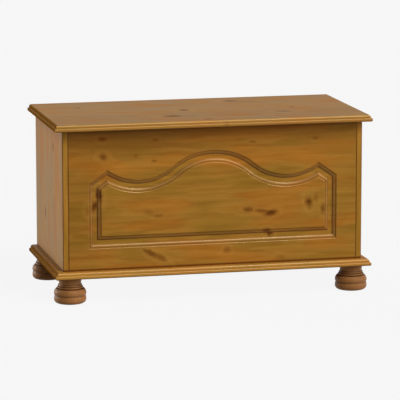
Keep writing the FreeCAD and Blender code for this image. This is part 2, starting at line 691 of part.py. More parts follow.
# ---------------------------------------------------------------- lid
BATTEN_MID_Y = (FRONT_INNER_Y + RAIL_Y) / 2
BATTEN_SCREW_HEADS = [
    point(side * BATTEN_X, BATTEN_MID_Y + step * BATTEN_SCREW_PITCH, LID_Z - BATTEN_T)
    for side in (-1, 1) for step in (-1, 0, 1)
]


def lid_board():
    mortises = [leaf_mortise(x, LID_Z, 1) for x in (-HINGE_X, HINGE_X)]
    screws = [screw_hole(HINGE_SCREW, head, UP) for head in hinge_screw_heads(1)]
    screws += [screw_hole(BATTEN_SCREW, head, UP) for head in BATTEN_SCREW_HEADS]
    screws += [screw_hole(STAY_SCREW, head, UP) for head in stay_lid_screw_heads()]
    return cut_all(moulded_board(LID_Z), mortises + screws)


def lid_batten(side):
    """A batten across the grain that keeps the lid flat, with its lower edges rounded."""
    x = side * BATTEN_X
    low_y, high_y = BATTEN_MID_Y - BATTEN_LENGTH / 2, BATTEN_MID_Y + BATTEN_LENGTH / 2
    low_z = LID_Z - BATTEN_T
    batten = block((x - BATTEN_WIDTH / 2, x + BATTEN_WIDTH / 2), (low_y, high_y), (low_z, LID_Z))
    batten = rounded(batten, BATTEN_ROUND, lambda middle, run: abs(middle.z - low_z) < 0.01)
    return cut_all(batten, [screw_hole(BATTEN_SCREW, head, UP)
                            for head in BATTEN_SCREW_HEADS if head.x * side > 0])


# ---------------------------------------------------------------- hinges
def leaf_mortise(x, z, way):
    """The shallow pocket for a leaf: way is +1 in the lid above z and -1 in the rail below."""
    depth = HINGE_LEAF_T + LEAF_GAP / 2
    return block(
        (x - HINGE_LENGTH / 2 - CLEARANCE, x + HINGE_LENGTH / 2 + CLEARANCE),
        (BACK_Y - HINGE_LEAF_WIDTH - CLEARANCE, BACK_Y),
        sorted((z, z + way * depth)),
    )


def hinge_screw_heads(way):
    """Head faces of the screws in the lid's leaves (+1) or the rail's leaves (-1)."""
    z = LID_Z + way * LEAF_GAP / 2
    y = BACK_Y - HINGE_LEAF_WIDTH / 2
    return [point(x + step * HINGE_SCREW_PITCH, y, z)
            for x in (-HINGE_X, HINGE_X) for step in (-1, 0, 1)]


def hinge_leaf(x, way):
    """One leaf with its knuckles: way is +1 for the lid's leaf and -1 for the rail's."""
    near, far = LID_Z + way * LEAF_GAP / 2, LID_Z + way * (LEAF_GAP / 2 + HINGE_LEAF_T)
    low_x = x - HINGE_LENGTH / 2
    pitch = HINGE_LENGTH / HINGE_KNUCKLES
    leaf = block((low_x, x + HINGE_LENGTH / 2),
                 (BACK_Y - HINGE_LEAF_WIDTH, BACK_Y), sorted((near, far)))
    for k in range(0 if way < 0 else 1, HINGE_KNUCKLES, 2):
        start = low_x + k * pitch + KNUCKLE_END_GAP / 2
        width = pitch - KNUCKLE_END_GAP
        barrel = rod(point(start, HINGE_AXIS_Y, LID_Z), RIGHT, HINGE_KNUCKLE_R, width)
        tongue = block((start, start + width), (BACK_Y, HINGE_AXIS_Y), sorted((near, far)))
        leaf = leaf.fuse(tongue).fuse(barrel)
    bore = rod(point(low_x - OVERRUN, HINGE_AXIS_Y, LID_Z), RIGHT,
               HINGE_PIN_R + HINGE_PIN_PLAY, HINGE_LENGTH + 2 * OVERRUN)
    holes = [screw_hole(HINGE_SCREW, head, UP * way) for head in hinge_screw_heads(way)
             if abs(head.x - x) < HINGE_LENGTH]
    return cut_all(leaf.removeSplitter(), [bore] + holes)


def hinge_pin(x):
    return rod(point(x - HINGE_LENGTH / 2, HINGE_AXIS_Y, LID_Z), RIGHT, HINGE_PIN_R, HINGE_LENGTH)


# ---------------------------------------------------------------- folding stay
# The four pivots make a parallelogram: hinge axis, lid pivot, elbow and side pivot.
# So the lower arm turns with the lid, and the upper arm keeps its slope all the way.
STAY_LID_PIVOT = (HINGE_AXIS_Y - STAY_LID_REACH, LID_Z - STAY_PIVOT_DROP)
STAY_SIDE_PIVOT = (HINGE_AXIS_Y - STAY_SIDE_REACH, LID_Z - STAY_SIDE_DROP)
STAY_ELBOW = (STAY_LID_PIVOT[0] - STAY_SIDE_REACH, STAY_LID_PIVOT[1] - STAY_SIDE_DROP)
# the stay's layers, from the side panel inwards: plate, lower arm, upper arm, lid bracket
PLATE_X = INNER_HALF
LOWER_ARM_X = PLATE_X - STAY_PLATE_T - LEAF_GAP
UPPER_ARM_X = LOWER_ARM_X - STAY_T - LEAF_GAP
EAR_X = UPPER_ARM_X - STAY_T - LEAF_GAP


def bar(a, b, x, thickness, holes, radius=STAY_WIDTH / 2):
    """A flat bar with round ends from a to b, points (y, z), whose outer face is at x."""
    start, end = point(x, a[0], a[1]), point(x, b[0], b[1])
    along = end - start
    along.normalize()
    across = along.cross(RIGHT) * radius
    outline = face([
        line(start + across, end + across),
        arc(end + across, end + along * radius, end - across),
        line(end - across, start - across),
        arc(start - across, start - along * radius, start + across),
    ])
    solid = outline.extrude(LEFT * thickness)
    return cut_all(solid, [rivet_hole(spot) for spot in holes])


def stop_lug():
    """The lug's centre (y, z) on the lower arm, with the lid closed.
    With the lid open it lies against the front edge of the upper arm."""
    up_y = STAY_LID_PIVOT[0] - STAY_ELBOW[0]
    up_z = STAY_LID_PIVOT[1] - STAY_ELBOW[1]
    length = math.hypot(up_y, up_z)
    aside = STAY_WIDTH / 2 + LUG_R + CLEARANCE
    open_y = (up_y * LUG_ALONG - up_z * aside) / length
    open_z = (up_z * LUG_ALONG + up_y * aside) / length
    turn = math.radians(STAY_OPEN_ANGLE)
    return (STAY_ELBOW[0] + open_y * math.cos(turn) - open_z * math.sin(turn),
            STAY_ELBOW[1] + open_y * math.sin(turn) + open_z * math.cos(turn))


def stay_lower_arm():
    """The lower arm, with an ear at the elbow that carries the stop lug."""
    spot = stop_lug()
    arm = bar(STAY_SIDE_PIVOT, STAY_ELBOW, LOWER_ARM_X, STAY_T, [])
    ear = bar(STAY_ELBOW, spot, LOWER_ARM_X, STAY_T, [], LUG_R + LUG_RIM)
    lug = rod(point(LOWER_ARM_X, spot[0], spot[1]), LEFT, LUG_R, 2 * STAY_T + LEAF_GAP)
    arm = arm.fuse(ear).fuse(lug).removeSplitter()
    return cut_all(arm, [rivet_hole(STAY_SIDE_PIVOT), rivet_hole(STAY_ELBOW)])


def rivet_hole(spot):
    return rod(point(PLATE_X, spot[0], spot[1]), LEFT, RIVET_R + CLEARANCE, PLATE_X)


def rivet(spot, outer_x, inner_x):
    """A domed rivet at spot. Its shank runs inward from outer_x to inner_x, where the dome is."""
    low = point(inner_x - RIVET_HEAD_T, spot[0], spot[1])
    shank = outer_x - inner_x
    outline = [
        (0, 0),
        (RIVET_CROWN_R, 0),
        (RIVET_HEAD_R, RIVET_HEAD_T - RIVET_RIM_T),
        (RIVET_HEAD_R, RIVET_HEAD_T),
        (RIVET_R, RIVET_HEAD_T),
        (RIVET_R, RIVET_HEAD_T + shank),
        (0, RIVET_HEAD_T + shank),
    ]
    return turned(outline, low, RIGHT)


def stay_side_screw_heads():
    y, z = STAY_SIDE_PIVOT
    return [point(PLATE_X - STAY_PLATE_T, y, z - k * STAY_SCREW_PITCH) for k in (1, 2)]


def stay_side_screw_holes():
    return [screw_hole(STAY_SCREW, head, RIGHT) for head in stay_side_screw_heads()]


def stay_side_plate():
    y, z = STAY_SIDE_PIVOT
    plate = bar((y, z), (y, z - 2 * STAY_SCREW_PITCH), PLATE_X, STAY_PLATE_T, [(y, z)])
    return cut_all(plate, stay_side_screw_holes())


def stay_lid_screw_heads():
    x = EAR_X - STAY_PLATE_T - STAY_FOOT_WIDTH / 2
    y = STAY_LID_PIVOT[0]
    return [point(x, y + step * STAY_SCREW_PITCH, LID_Z - STAY_PLATE_T) for step in (-1, 1)]


def stay_lid_bracket():
    """An angle: a foot screwed under the lid and an ear that carries the upper arm."""
    y, z = STAY_LID_PIVOT
    ear = bar((y, LID_Z - STAY_WIDTH / 2), (y, z), EAR_X, STAY_PLATE_T, [(y, z)])
    ear = ear.common(block((0, WIDTH), (y - STAY_WIDTH, y + STAY_WIDTH), (BASE_Z, LID_Z)))
    shoulder = block((EAR_X - STAY_PLATE_T, EAR_X), (y - STAY_WIDTH / 2, y + STAY_WIDTH / 2),
                     (LID_Z - STAY_PIVOT_DROP / 2, LID_Z))
    foot = block((EAR_X - STAY_PLATE_T - STAY_FOOT_WIDTH, EAR_X),
                 (y - STAY_FOOT_LENGTH / 2, y + STAY_FOOT_LENGTH / 2),
                 (LID_Z - STAY_PLATE_T, LID_Z))
    bracket = ear.fuse(shoulder).fuse(foot).removeSplitter()
    return cut_all(bracket, [screw_hole(STAY_SCREW, head, UP) for head in stay_lid_screw_heads()])


# ---------------------------------------------------------------- nodes
def nodes():
    """Every named piece, as node name and list of solids."""
    made = {
        "base_board": [base_board()],
        "side_panel_left": [side_panel(-1)],
        "side_panel_right": [side_panel(1)],
        "front_panel": [front_panel()],
        "back_top_rail": [back_top_rail()],
        "back_bottom_rail": [back_bottom_rail()],
        "back_panel": [back_panel()],
        "lid_board": [lid_board()],
        "lid_batten_left": [lid_batten(-1)],
        "lid_batten_right": [lid_batten(1)],
        "foot_bolts": [foot_bolt(centre) for centre in FOOT_CENTRES.values()],
        "foot_inserts": [foot_insert(centre) for centre in FOOT_CENTRES.values()],
        "corner_dowels": [joint.dowel() for joint in ALL_DOWELS],
        "base_dowels": [dowel(start, UP, BASE_DOWEL_LENGTH) for start in BASE_DOWEL_STARTS],
        "cam_bolts": [joint.cam_bolt() for joint in ALL_CAMS],
        "cams": [joint.cam(FRONT_INNER_Y, FORWARD) for joint in FRONT_CAMS]
        + [joint.cam(RAIL_Y, BACK) for joint in TOP_RAIL_CAMS + BOTTOM_RAIL_CAMS],
        "base_screws": [screw(BASE_SCREW, head, UP) for head in BASE_SCREW_HEADS],
        "batten_screws": [screw(BATTEN_SCREW, head, UP) for head in BATTEN_SCREW_HEADS],
        "hinge_rail_screws": [screw(HINGE_SCREW, head, DOWN) for head in hinge_screw_heads(-1)],
        "hinge_lid_screws": [screw(HINGE_SCREW, head, UP) for head in hinge_screw_heads(1)],
        "stay_side_plate": [stay_side_plate()],
        "stay_side_screws": [screw(STAY_SCREW, head, RIGHT) for head in stay_side_screw_heads()],
        "stay_side_rivet": [rivet(STAY_SIDE_PIVOT, PLATE_X, LOWER_ARM_X - STAY_T - CLEARANCE)],
        "stay_lower_arm": [stay_lower_arm()],
        "stay_elbow_rivet": [rivet(STAY_ELBOW, LOWER_ARM_X, UPPER_ARM_X - STAY_T - CLEARANCE)],
        "stay_upper_arm": [bar(STAY_LID_PIVOT, STAY_ELBOW, UPPER_ARM_X, STAY_T,
                               [STAY_LID_PIVOT, STAY_ELBOW])],
        "stay_lid_bracket": [stay_lid_bracket()],
        "stay_lid_screws": [screw(STAY_SCREW, head, UP) for head in stay_lid_screw_heads()],
        "stay_lid_rivet": [rivet(STAY_LID_PIVOT, UPPER_ARM_X, EAR_X - STAY_PLATE_T - CLEARANCE)],
    }
    for place, centre in FOOT_CENTRES.items():
        made["foot_" + place] = [bun_foot(centre)]
    for place, x in (("left", -HINGE_X), ("right", HINGE_X)):
        made["hinge_" + place + "_rail_leaf"] = [hinge_leaf(x, -1)]
        made["hinge_" + place + "_lid_leaf"] = [hinge_leaf(x, 1)]
        made["hinge_" + place + "_pin"] = [hinge_pin(x)]
    return made


def main():
    os.makedirs("parts", exist_ok=True)
    for name, solids in nodes().items():
        shape = solids[0] if len(solids) == 1 else Part.makeCompound(solids)
        shape.exportStep(os.path.join("parts", name + ".step"))


main()
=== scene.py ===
import bpy
import json
import math
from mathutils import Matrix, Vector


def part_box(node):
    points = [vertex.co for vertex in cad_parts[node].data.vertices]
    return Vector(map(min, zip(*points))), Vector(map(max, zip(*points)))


# The finish of a pine blanket chest: stained and waxed boards, darker turned feet,
# hardboard back, brassed hinges and stay, zinc-plated fittings.
# Metres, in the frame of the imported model: +X to the right, -Y to the front, +Z up.

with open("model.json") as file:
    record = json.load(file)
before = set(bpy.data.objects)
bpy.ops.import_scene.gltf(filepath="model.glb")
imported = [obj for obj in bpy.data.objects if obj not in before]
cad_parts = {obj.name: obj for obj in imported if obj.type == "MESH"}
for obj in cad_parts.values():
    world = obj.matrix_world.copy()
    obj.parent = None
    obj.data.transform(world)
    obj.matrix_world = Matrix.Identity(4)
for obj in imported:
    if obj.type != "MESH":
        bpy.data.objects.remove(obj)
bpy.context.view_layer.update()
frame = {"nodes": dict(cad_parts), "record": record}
MM = 0.001

# ---------------------------------------------------------------- colours
# pine boards, honey stained
PINE_EARLY = "#9b6d25"         # soft pale wood between the rings
PINE_LATE = "#794f14"          # hard dark line of each ring
PINE_ORANGE = "#9a5c18"        # resin-rich streaks
PINE_OLIVE = "#936c1c"         # greener streaks
PINE_PALE = "#b5823a"          # pale streaks, the wood round a knot, and rubbed edges, partly a painted highlight
PINE_BROWN = "#683b0c"         # streaks that took more stain
PINE_KNOT = "#66380c"
PINE_KNOT_EYE = "#432409"
PINE_STAIN_AND_SHADE = "#562803"         # stain that has gathered in mouldings and soaked into cut ends, and painted shade
# turned feet, one coat of stain more
TURNED_EARLY = "#936338"
TURNED_LATE = "#633a18"
TURNED_STAIN = "#2c1404"
WAX_SHEEN = "#ffe2b8"          # the wax gives its shine a warm tint
# inside and bought-in parts
HARDBOARD_PALE = "#8d6634"
HARDBOARD_DARK = "#76512a"
BEECH_PALE = "#c9a274"
BEECH_FLECK = "#a87e50"
BRASS_BRIGHT = "#c8a253"
BRASS_TARNISH = "#8f6c30"
ZINC_BRIGHT = "#b9bcc0"
ZINC_DULL = "#84888c"
# stage
BACKDROP_PALE = "#f6f6f6"
FLOOR_PAINT = "#aaaaaa"
PLAIN_WHITE = "#ffffff"

# ---------------------------------------------------------------- sizes in the boards
STAVE_WIDTH = 95 * MM          # the boards are glued up from staves
STAVES_APART = 9.0             # metres the pattern may shift between staves, so that none match
GLUE_LINE_STEP = 0.37          # how far the glue lines move from board to board, in staves
STAVE_NUMBER_STEP = 3.1        # how far the staves' chance numbers move from board to board
RING_SPACING = 3.6 * MM
RING_WAVER = 2.2               # how far the streaks bend the rings, in rings
HEART_DEPTH = 90 * MM          # how far below a stave's face the tree's heart lay
HEART_WANDER = 34 * MM         # how far the heart strays along a stave
HEART_WAVE = 700 * MM          # and over what length
FIBRE = (26 * MM, 0.6 * MM)    # length and width of a fibre bundle
STREAK = (110 * MM, 11 * MM)   # fine streaks, drawn three times as wide as real ones, to show
BAND = (170 * MM, 42 * MM)     # broad soft bands of colour
BAND_SEED = 4.0                # keeps the bands apart from the streaks
WOOD_RELIEF = 0.04 * MM        # how far fibres and late wood stand out under the wax

# knots
KNOT_STRAY = (19.8 * MM, 9 * MM)   # how far a knot's outline strays, along the grain and across
KNOT_CRACKLE = 6.25 * MM       # and over what length
KNOT_DEPTH = 10.0              # metres, so that a knot goes right through its board
KNOT_BEND = 3.5                # how far out a knot bends the rings, in times its own size
KNOT_PER_RING = 3.0            # millimetres of half width that push the rings aside by one
KNOT_FADE = (0.2, 1.8)         # where its darkness starts to fade and is gone, in times its size
KNOT_HALO = (0.2, 1.6)         # the push, in rings, at which paler wood starts and is palest
KNOT_HALO_SHARE = 0.2          # and how much of the pale shows there
KNOT_STREAKED = (1.2, 0.2)     # how much of a knot's darkness the streaks decide, and the rest

# where stain gathers and where shade is painted, and how much, from 0 to 1
FOOT_LINE = (2.5 * MM, 6 * MM)     # painted contact shadow at an upright board's foot: full to here, gone there
FOOT_LINE_SHADE = 0.95
UNDER_LID_FRONT = (92 * MM, 0.54)  # painted shadow of the lid on the front: how far down it reaches, how dark at most
UNDER_LID_SIDE = (45 * MM, 0.35)   # and the same painted shadow on the sides
CORNER_LINE = 2.5 * MM         # painted shade in the joint at each end of the front, along the side panel
CORNER_LINE_SHADE = 0.8
ARRIS_DARKENING = 0.9
END_GRAIN_STAIN = 0.55
GROOVE_SCALE = 10 * MM         # the depth below the face that GROOVE_LINES counts as 1
LIT_FLANK_SIDE = (0.5, 0, 0.85)    # flanks that look up and right, towards the light, get less of the painted shade
LIT_FLANK_FACING = (0.05, 0.5)     # how squarely they look that way where the shade starts to lift, and where it is least
LIT_FLANK_SHARE = 0.3              # the share of the groove's dark that stays on them
LID_EDGE_LINE = 0.05           # top of the painted shade on the edge's lower curve, as a share of the board's thickness
BASE_EDGE_LINE = 0.2
EDGE_LINE_FADE = 0.15
EDGE_LINE_SHADE = (0.9, 0.75)  # how dark the painted shade is at the bottom of the edge, and at the top of the line

# how squarely a face looks along an axis, 0 to 1
FLAT_FACE = 0.99               # at least this is a board's flat face
SLANTED_FACE = 0.93            # and at most this a moulding or a rounded arris
UNWORN_FACE = 0.98
WORN_FACE = 0.85
END_GRAIN = 0.12               # turned this far to the grain's end, a face starts to be cut
FRONT_END_GRAIN = 0.55         # on the front only steeper faces look cut, so its groove's flanks are darkened less
END_GRAIN_FADE = 0.4           # how much further it turns to be wholly cut

# turned feet
TURNED_RING_SPACING = 3.0 * MM
TURNED_HEART = (22 * MM, -16 * MM)     # where the tree's heart lay, from the first foot's axis
TURNED_HEART_STEP = (6 * MM, 5 * MM)   # and how far it moves on from foot to foot
TURNED_STRAY = 14 * MM         # how far the rings wander
TURNED_STRAY_LENGTH = 83 * MM  # and over what length
TURNED_RISE = 0.12             # the rings are tall shells, so height counts only this much
TURNED_BLOTCH = 26 * MM        # patches that took more or less stain

# other materials
HARDBOARD_FELT = 1.25 * MM     # matted fibres, drawn twice as coarse as real ones, to show
HARDBOARD_CLOUD = 45 * MM
HARDBOARD_RELIEF = 0.06 * MM
BEECH_RAY = (3.8 * MM, 1.1 * MM)
BEECH_RELIEF = 0.03 * MM
ROLLING_LINE = (12 * MM, 0.4 * MM)   # drawn four times as wide as real ones, to show
ROLLING_RELIEF = 0.01 * MM
TARNISH_PATCH = 14 * MM

# ---------------------------------------------------------------- finishes and patterns
WAX_IOR = 1.48
DRY_WOOD_IOR = 1.5
BOARD_ROUGHNESS = 0.2          # of the wax, before the patterns add to it or take from it
BOARD_SHINE = 0.15
TURNED_ROUGHNESS = 0.4
TURNED_SHINE = 0.18
FIBRE_ROUGHNESS = 0.12
BEECH_ROUGHNESS = 0.6
HARDBOARD_ROUGHNESS = 0.62
BRASS_ROUGHNESS = 0.2
ZINC_ROUGHNESS = 0.28
TARNISH_ROUGHNESS = 0.2
RING_CONTRAST = 0.3
TURNED_RING_CONTRAST = 0.5
LATE_WOOD_HEIGHT = 0.8         # how far late wood stands out, where a fibre stands out 1
TURNED_TONE = (0.7, 0.62)      # how much the blotches pale a foot, and its darkest tone
FELT_SHARE = 0.6               # how much the felt counts in the hardboard's mottle
EDGE_WEAR_AND_HIGHLIGHT = 0.35               # how much of the pale shows where hands have rubbed the edges, partly a painted highlight

# Ramps, as pairs of a place in a pattern and how much shows there, both from 0 to 1.
RINGS = [(0.0, 0.4), (0.1, 0.0), (0.5, 0.1), (0.85, 0.8), (0.97, 1.0)]
TURNED_RINGS = [(0.0, 0.4), (0.12, 0.0), (0.5, 0.15), (0.85, 0.8), (0.97, 1.0)]
ORANGE_BANDS = [(0.5, 0.0), (0.64, 0.6)]
OLIVE_BANDS = [(0.34, 0.5), (0.47, 0.0)]
BROWN_STREAKS = [(0.3, 0.24), (0.54, 0.0)]
PALE_STREAKS = [(0.46, 0.0), (0.7, 0.18)]
KNOT_BROWN = [(0.06, 0.0), (0.55, 0.85)]
KNOT_EYE = [(0.42, 0.0), (0.72, 0.7)]
# the routed groove, from the face down to its flat floor: stain gathered there, and painted shade
# on its flanks
GROOVE_LINES = [(0.0, 0.0), (0.05, 0.25), (0.2, 0.32), (0.4, 0.45), (0.6, 0.85), (0.655, 0.0)]
# a foot from its sole to its top, dark in each cut between its beads
GOUGE_LINES = [
    (0.0, 0.5), (0.06, 0.0), (0.27, 0.0), (0.305, 0.5), (0.335, 0.0), (0.55, 0.0),
    (0.585, 0.9), (0.61, 0.1), (0.645, 0.1), (0.665, 0.9), (0.685, 0.1), (0.72, 0.1),
    (0.74, 0.8), (0.78, 0.1), (1.0, 0.2),
]
BEECH_FLECKS = [(0.48, 0.0), (0.62, 1.0)]
HARDBOARD_MOTTLE = [(0.55, 0.0), (1.0, 1.0)]
TARNISH = [(0.42, 0.0), (0.7, 0.7)]

# ---------------------------------------------------------------- knots
# A knot: along the grain, across it, half length, half width, in millimetres,
# lean in degrees, and strength from 0 to 1.
FRONT_KNOTS = [
    (-289, 421, 12, 6, 0, 0.7), (-288, 375, 12, 9, -25, 0.55), (-204, 377, 6, 5, 0, 0.5),
    (-156, 360, 7, 4, 0, 0.45), (-153, 414, 9, 4, 0, 0.5), (-170, 229, 14, 8, -20, 0.35),
    (-147, 218, 14, 5, 0, 0.45), (-164, 121, 27, 7, -28, 0.65), (-141, 110, 18, 8, -30, 0.6),
    (90, 225, 13, 7, 0, 0.65), (128, 219, 22, 6, -8, 0.55), (150, 213, 17, 8, 12, 0.85),
    (140, 168, 12, 7, 0, 0.7), (149, 158, 9, 7, 0, 0.75), (35, 122, 10, 9, 0, 0.45),
    (178, 95, 11, 6, 0, 0.35), (252, 237, 9, 15, 12, 0.65), (270, 250, 7, 12, 0, 0.4),
    (290, 218, 7, 14, 0, 0.55), (267, 404, 10, 5, 0, 0.55), (102, 400, 9, 4, 0, 0.35),
    (-299, 279, 8, 16, 10, 0.8), (-311, 247, 7, 14, -15, 0.75), (-330, 239, 6, 12, 0, 0.4),
]
SIDE_KNOTS = [
    (386, -57, 13, 7, 0, 0.8), (196, 60, 16, 8, 10, 0.6), (268, -20, 7, 5, 0, 0.5),
]
LID_KNOTS = [
    (-92, -104, 24, 9, 4, 1.0), (-60, -114, 36, 5, 6, 0.8), (-38, -6, 14, 9, 0, 1.0),
    (-12, -178, 14, 6, 10, 0.7), (211, -85, 22, 8, -6, 0.9), (250, -18, 10, 7, 0, 0.8),
    (-300, 95, 9, 6, 0, 0.7), (120, 130, 20, 9, -12, 1.0), (150, 120, 34, 5, -8, 0.8),
    (28, -205, 8, 5, 0, 0.6),
]
BASE_KNOTS = [
    (-120, -150, 9, 5, 0, 0.5), (210, 40, 9, 6, 0, 0.5),
]
CLEAR_WOOD = []
# darker patches of the front, written like the knots: the lid's shadow painted deeper at the upper
# left, and the front darker towards its left end
FRONT_DARK_PATCHES = [
    (-250, 420, 190, 45, 0, 0.3), (-350, 260, 60, 190, 0, 0.22),
]


def linear(colour):
    """An sRGB hex colour as linear red, green, blue and alpha."""
    parts = [int(colour[i:i + 2], 16) / 255 for i in (1, 3, 5)]
    parts = [p / 12.92 if p <= 0.04045 else ((p + 0.055) / 1.055) ** 2.4 for p in parts]
    return (*parts, 1.0)


# ---------------------------------------------------------------- shader nodes
def add(tree, kind, inputs=None, stops=None, **settings):
    """Adds one shader node with its settings, fixed values and links, and gives its outputs.
    stops are the (place, grey level) pairs of a ramp."""
    node = tree.nodes.new("ShaderNode" + kind)
    for name, value in settings.items():
        setattr(node, name, value)
    for socket, value in (inputs or {}).items():
        if isinstance(value, bpy.types.NodeSocket):
            tree.links.new(value, node.inputs[socket])
        else:
            node.inputs[socket].default_value = value
    if stops:
        marks = node.color_ramp.elements
        marks.remove(marks[1])
        marks[0].position = stops[0][0]
        for place, _ in stops[1:]:
            marks.new(place)
        for mark, (_, level) in zip(marks, stops):
            mark.color = (level, level, level, 1.0)
    return node.outputs


def empty_material(name):
    """A new material whose node tree is still empty."""
    material = bpy.data.materials.new(name)
    material.use_nodes = True
    material.node_tree.nodes.clear()
    return material


def along_grain(tree, board, size, seed=0.0, detail=3.0):
    """A soft pattern of streaks whose length and width are given by size."""
    length, width = size
    stretched = add(tree, "Mapping", {
        "Vector": board, "Location": (seed, seed, seed),
        "Scale": (1 / length, 1 / width, 1 / width)})[0]
    return add(tree, "TexNoise", {"Vector": stretched, "Scale": 1.0, "Detail": detail})[0]


# ---------------------------------------------------------------- how a board was sawn
def board_place(tree, grain):
    """A point's place in its board: along the grain, across it and through it.
    grain names the part's axes in that order, such as XZY."""
    here = add(tree, "TexCoord")["Object"]
    axes = add(tree, "SeparateXYZ", {0: here})
    return add(tree, "CombineXYZ", {0: axes[grain[0]], 1: axes[grain[1]], 2: axes[grain[2]]})[0]


def stave_luck(tree, board, seed):
    """Three chance numbers for each stave, and how far across its stave a point is, 0 to 1."""
    across = add(tree, "SeparateXYZ", {0: board})[1]
    count = add(tree, "Math", {0: across, 1: 1 / STAVE_WIDTH, 2: seed * GLUE_LINE_STEP},
                operation="MULTIPLY_ADD")[0]
    number = add(tree, "Math", {0: count}, operation="FLOOR")[0]
    number = add(tree, "Math", {0: number, 1: seed * STAVE_NUMBER_STEP}, operation="ADD")[0]
    luck = add(tree, "TexWhiteNoise", {"W": number}, noise_dimensions="1D")["Color"]
    in_stave = add(tree, "Math", {0: count}, operation="FRACT")[0]
    return luck, in_stave


def heart_distance(tree, board, luck, in_stave):
    """How far a point was from the heart of the tree that its stave was sawn from."""
    depth = add(tree, "SeparateXYZ", {0: board})[2]
    sideways = add(tree, "Math", {0: in_stave, 1: STAVE_WIDTH, 2: -STAVE_WIDTH / 2},
                   operation="MULTIPLY_ADD")[0]
    spot = add(tree, "CombineXYZ", {1: sideways, 2: depth})[0]
    slid = add(tree, "VectorMath", {0: luck, 1: (STAVES_APART,) * 3, 2: board},
               operation="MULTIPLY_ADD")[0]
    stretched = add(tree, "VectorMath", {0: slid, 1: (1 / HEART_WAVE, 1.0, 1.0)},
                    operation="MULTIPLY")[0]
    stray = add(tree, "TexNoise", {"Vector": stretched, "Scale": 1.0, "Detail": 1.0})["Color"]
    heart = add(tree, "VectorMath", {
        0: luck, 1: (0, STAVE_WIDTH, HEART_DEPTH), 2: (0, -STAVE_WIDTH / 2, HEART_DEPTH / 3)},
        operation="MULTIPLY_ADD")[0]
    heart = add(tree, "VectorMath", {0: stray, 1: (0, HEART_WANDER, HEART_WANDER), 2: heart},
                operation="MULTIPLY_ADD")[0]
    return add(tree, "VectorMath", {0: spot, 1: heart}, operation="DISTANCE")["Value"]


def knot_marks(tree, board, knots):
    """How far the knots push the rings aside, and how dark they are."""
    ragged = add(tree, "TexNoise", {
        "Vector": board, "Scale": 1 / KNOT_CRACKLE, "Detail": 4.0, "Roughness": 0.68})["Color"]
    ragged = add(tree, "VectorMath", {0: ragged, 1: (0.5, 0.5, 0.5)}, operation="SUBTRACT")[0]
    warped = add(tree, "VectorMath", {0: ragged, 1: (*KNOT_STRAY, 0), 2: board},
                 operation="MULTIPLY_ADD")[0]
    push, dark = 0.0, 0.0
    for along, across, length, width, lean, strength in knots:
        inside = add(tree, "Mapping", {
            "Vector": warped, "Location": (along * MM, across * MM, 0),
            "Rotation": (0, 0, math.radians(lean)),
            "Scale": (length * MM, width * MM, KNOT_DEPTH)}, vector_type="TEXTURE")[0]
        away = add(tree, "VectorMath", {0: inside}, operation="LENGTH")["Value"]
        swell = add(tree, "MapRange", {
            "Value": away, "From Min": 0.0, "From Max": KNOT_BEND,
            "To Min": strength * width / KNOT_PER_RING, "To Max": 0.0},
            interpolation_type="SMOOTHSTEP")[0]
        spot = add(tree, "MapRange", {
            "Value": away, "From Min": KNOT_FADE[0], "From Max": KNOT_FADE[1],
            "To Min": strength, "To Max": 0.0}, interpolation_type="SMOOTHSTEP")[0]
        push = add(tree, "Math", {0: push, 1: swell}, operation="ADD")[0]
        dark = add(tree, "Math", {0: dark, 1: spot}, operation="MAXIMUM")[0]
    return push, dark


# ---------------------------------------------------------------- which way a face looks
def facing_axes(tree):
    """How squarely a face looks along the part's X, Y and Z axes, 0 to 1 each."""
    facing = add(tree, "VectorMath", {0: add(tree, "TexCoord")["Normal"]},
                 operation="ABSOLUTE")[0]
    return add(tree, "SeparateXYZ", {0: facing})


def slanted(tree):
    """1 on mouldings and rounded arrises, 0 on the flat faces of a board."""
    axes = facing_axes(tree)
    most = add(tree, "Math", {0: axes[0], 1: axes[1]}, operation="MAXIMUM")[0]
    most = add(tree, "Math", {0: most, 1: axes[2]}, operation="MAXIMUM")[0]
    return add(tree, "MapRange", {
        "Value": most, "From Min": FLAT_FACE, "From Max": SLANTED_FACE,
        "To Min": 0.0, "To Max": 1.0})[0]


def end_grain(tree, grain, least):
    """1 where the wood is cut across its grain, which takes more stain and stays dull. least
    is how far a face must turn to the grain's end to count as cut."""
    along = facing_axes(tree)[grain[0]]
    return add(tree, "MapRange", {
        "Value": along, "From Min": least, "From Max": least + END_GRAIN_FADE})[0]


def rubbed_and_lit_edge(tree, grain):
    """1 on a board's edges and mouldings, where hands have rubbed the finish pale and a highlight
    is painted.
    """
    through = facing_axes(tree)[grain[2]]
    return add(tree, "MapRange", {
        "Value": through, "From Min": UNWORN_FACE, "From Max": WORN_FACE,
        "To Min": 0.0, "To Max": 1.0})[0]


# ---------------------------------------------------------------- waxed pine boards
def pine_rings(tree, from_heart, push, streak):
    """How far a point is into late wood, which darkens slowly and stops at once."""
    rings = add(tree, "Math", {0: from_heart, 1: 1 / RING_SPACING, 2: push},
                operation="MULTIPLY_ADD")[0]
    rings = add(tree, "Math", {0: streak, 1: RING_WAVER, 2: rings},
                operation="MULTIPLY_ADD")[0]
    ring = add(tree, "Math", {0: rings}, operation="FRACT")[0]
    late = add(tree, "ValToRGB", {0: ring}, stops=RINGS)[0]
    return add(tree, "Math", {0: late, 1: RING_CONTRAST}, operation="MULTIPLY")[0]


